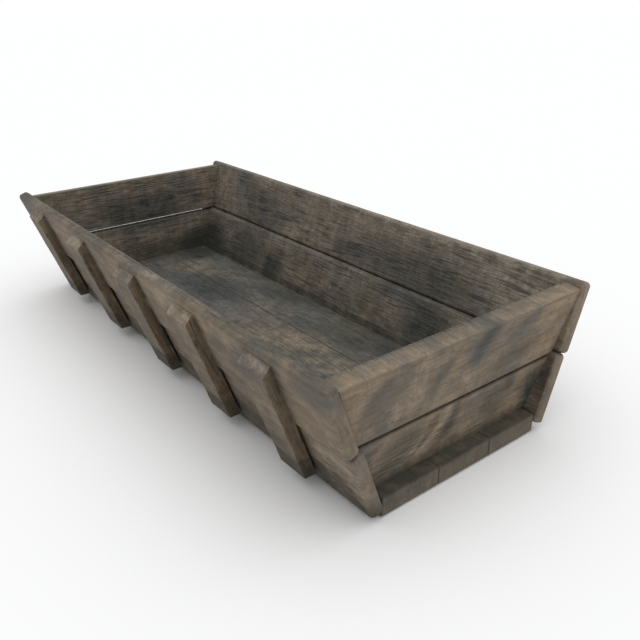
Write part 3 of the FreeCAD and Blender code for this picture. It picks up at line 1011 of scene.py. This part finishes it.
def weathered_wood(name, plain, warm, cool, worn, figure):
    """Old grey-brown timber; figure says how strong its grain is."""
    wood = Wood(name)
    colour = clouded(wood, plain, warm, cool)
    bands = wood.ramp("bands", 0.32, 0.68, 1 - 0.10 * figure, 1 + 0.09 * figure)
    colour = wood.shaded(colour, bands)
    strength = wood.value("lined")
    fine = fine_grain(wood, figure)
    colour = wood.mix(wood.ramp(strength, 0, 1, 0.3, 1.0), colour, wood.shaded(colour, fine))
    lines = grain_lines(wood, figure, strength)
    colour = wood.mix(lines, colour, wood.shaded(colour, LINE_SHADE))
    wood.join(aged(wood, colour, worn), wood.shader.inputs["Base Color"])

    wood.join(wood.ramp("mottle", 0.3, 0.7, 0.66, 0.86), wood.shader.inputs["Roughness"])
    wood.shader.inputs["Specular IOR Level"].default_value = SPECULAR
    relief = wood.maths("SUBTRACT", wood.times(wood.ramp(fine, 0.6, 1.2), 0.5), lines)
    wood.join(wood.bump(relief), wood.shader.inputs["Normal"])
    return wood.material


# Each wood: its plain, warm, cool and rubbed colours, and how strong its figure is
WOOD_LOOKS = {
    "floor_wood": ((106, 100, 91), (115, 105, 92), (97, 97, 90), (110, 103, 93), 0.7),
    "side_wood": ((129, 117, 103), (142, 126, 107), (115, 108, 99), (132, 122, 109), 1.0),
    "end_wood": ((133, 120, 104), (147, 130, 109), (115, 109, 100), (117, 107, 95), 1.0),
    # The battens' rubbed colour is also the painted light on their up-facing heads.
    "batten_wood": ((118, 107, 94), (127, 113, 96), (107, 103, 96), (150, 138, 121), 1.0),
    "tenon_wood": ((84, 74, 60), (92, 79, 62), (74, 68, 58), (90, 80, 64), 1.0),
}
WOODS = {}
for slot, (*tints, figure) in WOOD_LOOKS.items():
    WOODS[slot] = weathered_wood(slot, *[shown_colour(*tint) for tint in tints], figure)


# ------------------------------------------------------------------ the boards

# The axis that the grain follows on faces square to the board's length, width and thickness
PLANK_GRAIN = (1, 0, 0)
FLOOR_GRAIN = (2, 0, 0)
END_GRAIN = (2, 2, 0)
BATTEN_GRAIN = (1, 0, 1)

# Faces that bear on another board: the axis that they are square to, and if it is the high one
ENDS_OF_BOARD = ((0, False), (0, True))
LOW_EDGE = ((1, False),)
HIGH_EDGE = ((1, True),)
BACK = ((2, False),)

# The first seed of each kind of board
FLOOR_SEED = 11
LOWER_SIDE_SEED = 21
UPPER_SIDE_SEED = 31
LOWER_END_SEED = 41
UPPER_END_SEED = 51
BATTEN_SEED = 60

# How much fresher the sides of the battens are, how much at the trough's ends, and how much
# paler the battens' heads are: partly bleaching, partly painted light
BATTEN_SHELTER = 0.75
OUTER_SHELTER = 0.55
HEAD_BLEACH_AND_LIGHT = 1.3


def make_floor():
    """Three boards side by side, lying on the ground."""
    for number, place in enumerate(("near", "middle", "far")):
        board = Board("floor_board_" + place, AXIS_X, AXIS_Y, AXIS_Z, FLOOR_RADIUS)
        board.build(FLOOR_SEED + number, "floor_wood", "floor", FLOOR_GRAIN, worn_under,
                    LOW_EDGE + HIGH_EDGE)


def make_sides():
    """Two planks one above the other on each long side, leaning outward."""
    for number, (place, side) in enumerate((("near", -1), ("far", 1))):
        out = mirrored(SIDE_OUT, side)
        up = mirrored(SIDE_UP, side)
        lower = Board("side_plank_%s_lower" % place, AXIS_X, up, out, SIDE_RADIUS, SAWN)
        lower.build(LOWER_SIDE_SEED + number, "side_wood", place, PLANK_GRAIN, beside_floor,
                    HIGH_EDGE)
        upper = Board("side_plank_%s_upper" % place, AXIS_X, up, out, SIDE_RADIUS)
        upper.build(UPPER_SIDE_SEED + number, "side_wood", place, PLANK_GRAIN, joints=LOW_EDGE,
                    chip=RIM_CHIP)


def make_ends():
    """Two boards one above the other at each end, tilted outward."""
    for number, (place, end) in enumerate((("right", 1), ("left", -1))):
        facing = np.array((end, 1, 1))
        lower = Board("end_board_%s_lower" % place, AXIS_Y, END_UP * facing, END_OUT * facing,
                      END_RADIUS, SQUARE, True)
        lower.build(LOWER_END_SEED + number, "end_wood", place, END_GRAIN,
                    between_sides(LOWER_FACE, True), ENDS_OF_BOARD + LOW_EDGE + HIGH_EDGE)
        upper = Board("end_board_%s_upper" % place, AXIS_Y, END_UP * facing, END_OUT * facing,
                      END_RADIUS, SAWN, True)
        upper.build(UPPER_END_SEED + number, "end_wood", place, END_GRAIN,
                    between_sides(UPPER_FACE, False), ENDS_OF_BOARD + LOW_EDGE)


def make_battens():
    """Five upright battens on the outside of each long side."""
    for number in BATTENS:
        for place, side in (("near", -1), ("far", 1)):
            board = Board("batten_%s_%d" % (place, number), mirrored(SIDE_UP, side), AXIS_X,
                          mirrored(SIDE_OUT, side), BATTEN_RADIUS)
            seed = BATTEN_SEED + 2 * number + (side > 0)
            outer = number in (BATTENS[0], BATTENS[-1])
            board.build(seed, "batten_wood", place, BATTEN_GRAIN, bevelled, BACK, BATTEN_GROOVE,
                        BATTEN_CHIP, OUTER_SHELTER if outer else BATTEN_SHELTER, HEAD_BLEACH_AND_LIGHT)


def finish_tenons():
    """The tenons and pegs keep their CAD solids, hidden in the joints, in old dark wood."""
    for name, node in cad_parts.items():
        if name.startswith(("tenons_", "pegs_")):
            node.data.materials.clear()
            node.data.materials.append(WOODS["tenon_wood"])


# ------------------------------------------------------------------ stage, light and camera

# How far the pale floor reaches, how much light it gives back, and how light it looks
FLOOR_REACH = 30.0
FLOOR_BOUNCE = 0.80
FLOOR_SEEN = 1.0
SKY_OVERHEAD = 1.50
SKY_COLOUR = (0.990, 0.995, 1.0, 1.0)
WHITE = (1.0, 1.0, 1.0, 1.0)


def seen_share(tree):
    """1 on rays from the camera, and on those that a glossy or clear surface sends on."""
    path = tree.nodes.new("ShaderNodeLightPath")
    total = path.outputs["Is Camera Ray"]
    for kind in ("Is Glossy Ray", "Is Transmission Ray"):
        either = tree.nodes.new("ShaderNodeMath")
        either.operation = "MAXIMUM"
        tree.links.new(total, either.inputs[0])
        tree.links.new(path.outputs[kind], either.inputs[1])
        total = either.outputs[0]
    return total


def mix_by_sight(tree, unseen, seen, surface):
    """Joins two shaders to a surface: one for what is seen, and one for the light it gives."""
    mix = tree.nodes.new("ShaderNodeMixShader")
    tree.links.new(seen_share(tree), mix.inputs[0])
    tree.links.new(unseen.outputs[0], mix.inputs[1])
    tree.links.new(seen.outputs[0], mix.inputs[2])
    tree.links.new(mix.outputs[0], surface)


def make_stage():
    """A plain pale floor: seen directly it is white, and it keeps the trough's shadow."""
    mesh = bpy.data.meshes.new("ground")
    r = FLOOR_REACH
    mesh.from_pydata([(-r, -r, 0), (r, -r, 0), (r, r, 0), (-r, r, 0)], [], [(0, 1, 2, 3)])
    ground = bpy.data.objects.new("ground", mesh)
    bpy.context.scene.collection.objects.link(ground)
    material = bpy.data.materials.new("pale_floor")
    material.use_nodes = True
    tree = material.node_tree
    tree.nodes.remove(tree.nodes["Principled BSDF"])
    seen = tree.nodes.new("ShaderNodeBsdfDiffuse")
    seen.inputs["Color"].default_value = (FLOOR_SEEN, FLOOR_SEEN, FLOOR_SEEN, 1)
    bounce = tree.nodes.new("ShaderNodeBsdfDiffuse")
    bounce.inputs["Color"].default_value = (FLOOR_BOUNCE, FLOOR_BOUNCE, FLOOR_BOUNCE, 1)
    mix_by_sight(tree, bounce, seen, tree.nodes["Material Output"].inputs["Surface"])
    mesh.materials.append(material)


def make_light():
    """A soft sky, brightest overhead and fading to the horizon; the camera sees plain white."""
    world = bpy.data.worlds.new("soft_sky")
    bpy.context.scene.world = world
    world.use_nodes = True
    tree = world.node_tree
    direction = tree.nodes.new("ShaderNodeTexCoord")
    height = tree.nodes.new("ShaderNodeSeparateXYZ")
    tree.links.new(direction.outputs["Generated"], height.inputs[0])
    fade = tree.nodes.new("ShaderNodeMapRange")
    fade.inputs["To Max"].default_value = SKY_OVERHEAD
    tree.links.new(height.outputs["Z"], fade.inputs["Value"])
    lit = tree.nodes["Background"]
    lit.inputs["Color"].default_value = SKY_COLOUR
    tree.links.new(fade.outputs[0], lit.inputs["Strength"])
    white = tree.nodes.new("ShaderNodeBackground")
    white.inputs["Color"].default_value = WHITE
    white.inputs["Strength"].default_value = 1.0
    mix_by_sight(tree, lit, white, tree.nodes["World Output"].inputs["Surface"])


CAMERA_PLACE = Vector((1.8844, -1.1752, 1.1208))
CAMERA_YAW = math.radians(52.224)
CAMERA_DOWN = math.radians(25.295)
CAMERA_ROLL = math.radians(-0.662)
CAMERA_LENS = 39.29
CAMERA_SENSOR = 36.0
CAMERA_REACH = 100.0


def make_camera():
    """The camera, fitted to the photograph's viewing angle."""
    data = bpy.data.cameras.new("view")
    data.lens = CAMERA_LENS
    data.sensor_width = CAMERA_SENSOR
    data.clip_end = CAMERA_REACH
    camera = bpy.data.objects.new("view", data)
    yaw = Matrix.Rotation(CAMERA_YAW, 4, "Z")
    tilt = Matrix.Rotation(math.pi / 2 - CAMERA_DOWN, 4, "X")
    roll = Matrix.Rotation(CAMERA_ROLL, 4, "Z")
    camera.matrix_world = Matrix.Translation(CAMERA_PLACE) @ yaw @ tilt @ roll
    bpy.context.scene.collection.objects.link(camera)
    bpy.context.scene.camera = camera


make_floor()
make_sides()
make_ends()
make_battens()
finish_tenons()
make_stage()
make_light()
make_camera()
bpy.context.scene.view_settings.view_transform = "Standard"
